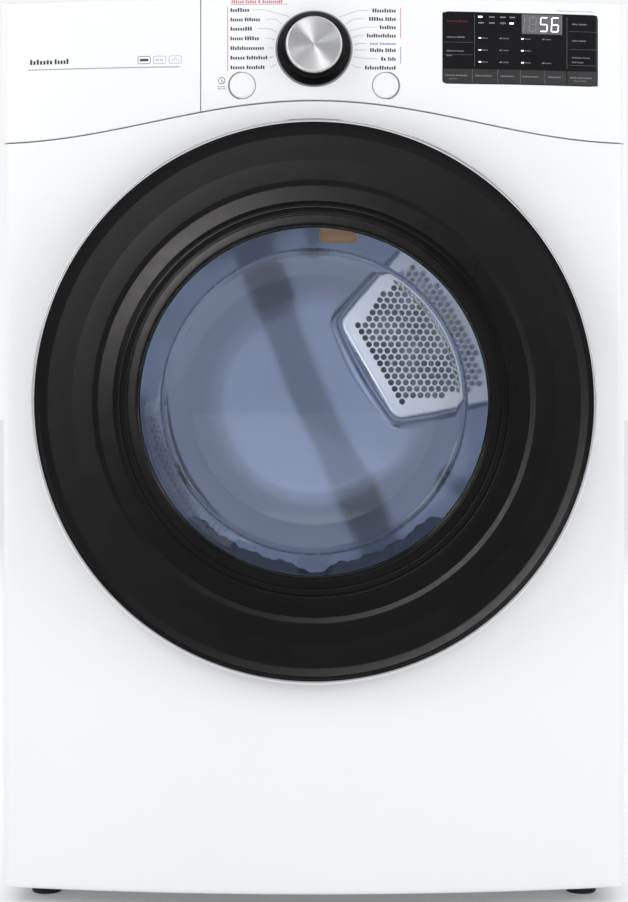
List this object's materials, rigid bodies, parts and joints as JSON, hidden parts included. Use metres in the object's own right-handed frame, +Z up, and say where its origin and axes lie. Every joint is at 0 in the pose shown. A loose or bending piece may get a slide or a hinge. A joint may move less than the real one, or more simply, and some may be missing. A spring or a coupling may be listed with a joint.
{
  "type": "clothes dryer",
  "caption": "Front-loading clothes dryer with a bowed white front, a round glass door, a turning drum, its belt drive, air path, control dial and levelling feet.",
  "frame": {"origin": "on the floor under the middle of the dryer's box", "axes": "+Z up, -Y out of the front where the door is, +X to the right as one faces the door"},
  "size_m": [0.686, 0.768, 0.991],
  "materials": {
    "white_enamel": "smooth gloss enamel",
    "white_plastic": "satin moulded",
    "black_gloss": "polished",
    "dark_plastic": "fine texture",
    "grey_plastic": "fine texture",
    "chrome": "polished",
    "spun_aluminium": "spun, radial sheen",
    "zinc_steel": "galvanised",
    "drum_steel": "brushed",
    "door_glass": "clear, faint blue",
    "rubber": "matte",
    "felt": "felt",
    "circuit_board": "lacquered",
    "motor_paint": "dull grey paint"
  },
  "bodies": {
    "root": {"air_inlet_grille": "zinc_steel", "base_pan": "zinc_steel", "blower_housing": "white_plastic", "control_board": "circuit_board", "control_fascia": "white_plastic", "dial_encoder": "dark_plastic", "display_panel": "black_gloss", "door_catch": "dark_plastic", "drive_motor": "motor_paint", "drum_belt": "rubber", "drum_lamp": "white_plastic", "exhaust_duct": "zinc_steel", "fascia_left_panel": "white_plastic", "front_bulkhead": "white_enamel", "front_felt_seal": "felt", "front_panel": "white_enamel", "heater_coil": "zinc_steel", "heater_duct": "zinc_steel", "heater_housing": "zinc_steel", "hinge_bracket": "zinc_steel", "hinge_pin": "zinc_steel", "idler_bracket": "zinc_steel", "idler_spring": "zinc_steel", "lint_duct": "white_plastic", "rear_bulkhead": "drum_steel", "rear_felt_seal": "felt", "rear_panel": "white_enamel", "roller_shaft_left": "zinc_steel", "roller_shaft_right": "zinc_steel", "side_panel_left": "white_enamel", "side_panel_right": "white_enamel", "terminal_cover": "zinc_steel", "top_panel": "white_enamel"},
    "drum": {"drum": "drum_steel", "drum_baffle_1": "grey_plastic", "drum_baffle_2": "grey_plastic", "drum_baffle_3": "grey_plastic"},
    "roller_left": {"drum_roller_left": "rubber"},
    "roller_right": {"drum_roller_right": "rubber"},
    "motor_rotor": {"motor_shaft": "zinc_steel", "blower_wheel": "dark_plastic"},
    "idler_arm": {"idler_arm": "zinc_steel"},
    "idler_pulley": {"idler_pulley": "dark_plastic"},
    "lint_filter": {"lint_filter": "grey_plastic"},
    "dial": {"dial_skirt": "black_gloss", "dial_cap": "spun_aluminium"},
    "power_button": {"power_button": "white_plastic"},
    "start_button": {"start_button": "white_plastic"},
    "door": {"door_bezel": "black_gloss", "door_gasket": "rubber", "door_glass": "door_glass", "door_hinge_leaf": "zinc_steel", "door_liner": "grey_plastic", "door_strike": "zinc_steel", "door_trim_ring": "chrome"},
    "foot_front_left": {"foot_front_left": "dark_plastic"},
    "foot_front_right": {"foot_front_right": "dark_plastic"},
    "foot_rear_left": {"foot_rear_left": "dark_plastic"},
    "foot_rear_right": {"foot_rear_right": "dark_plastic"}
  },
  "joints": [
    {"name": "door_hinge", "type": "hinge", "parent": "root", "child": "door", "pos_m": [0.297, -0.351, 0.552], "axis": [0, 0, 1], "range_deg": [0, 120]},
    {"name": "drum_spin", "type": "hinge", "parent": "root", "child": "drum", "pos_m": [0, 0, 0.552], "axis": [0, 1, 0], "continuous": true},
    {"name": "roller_left_spin", "type": "hinge", "parent": "root", "child": "roller_left", "pos_m": [-0.18245, 0.295, 0.26002], "axis": [0, 1, 0], "continuous": true},
    {"name": "roller_right_spin", "type": "hinge", "parent": "root", "child": "roller_right", "pos_m": [0.18245, 0.295, 0.26002], "axis": [0, 1, 0], "continuous": true},
    {"name": "motor_spin", "type": "hinge", "parent": "root", "child": "motor_rotor", "pos_m": [0.12, 0, 0.125], "axis": [0, 1, 0], "continuous": true},
    {"name": "idler_arm_pivot", "type": "hinge", "parent": "root", "child": "idler_arm", "pos_m": [-0.12, 0.0695, 0.13], "axis": [0, -1, 0], "range_deg": [0, 6], "stiffness_Nm_per_rad": 2, "springref_deg": -22.92, "deforming": ["idler_spring"]},
    {"name": "idler_pulley_spin", "type": "hinge", "parent": "idler_arm", "child": "idler_pulley", "pos_m": [0, 0.0575, 0.19], "axis": [0, 1, 0], "continuous": true},
    {"name": "lint_filter_lift", "type": "slide", "parent": "root", "child": "lint_filter", "axis": [0, 0, 1], "range_m": [0, 0.2]},
    {"name": "dial_turn", "type": "hinge", "parent": "root", "child": "dial", "pos_m": [0, -0.37, 0.934], "axis": [0, 1, 0], "continuous": true},
    {"name": "power_press", "type": "slide", "parent": "root", "child": "power_button", "axis": [0, 1, 0], "range_m": [0, 0.0015], "stiffness_N_per_m": 800, "springref_m": -0.001},
    {"name": "start_press", "type": "slide", "parent": "root", "child": "start_button", "axis": [0, 1, 0], "range_m": [0, 0.0015], "stiffness_N_per_m": 800, "springref_m": -0.001},
    {"name": "foot_front_left_level", "type": "slide", "parent": "root", "child": "foot_front_left", "axis": [0, 0, -1], "range_m": [0, 0.015]},
    {"name": "foot_front_right_level", "type": "slide", "parent": "root", "child": "foot_front_right", "axis": [0, 0, -1], "range_m": [0, 0.015]},
    {"name": "foot_rear_left_level", "type": "slide", "parent": "root", "child": "foot_rear_left", "axis": [0, 0, -1], "range_m": [0, 0.015]},
    {"name": "foot_rear_right_level", "type": "slide", "parent": "root", "child": "foot_rear_right", "axis": [0, 0, -1], "range_m": [0, 0.015]}
  ],
  "couplings": [
    {"joint": "roller_left_spin", "follows": "drum_spin", "ratio": -12.231},
    {"joint": "roller_right_spin", "follows": "drum_spin", "ratio": -12.231},
    {"joint": "motor_spin", "follows": "drum_spin", "ratio": 33.474},
    {"joint": "idler_pulley_spin", "follows": "drum_spin", "ratio": 17.667}
  ]
}
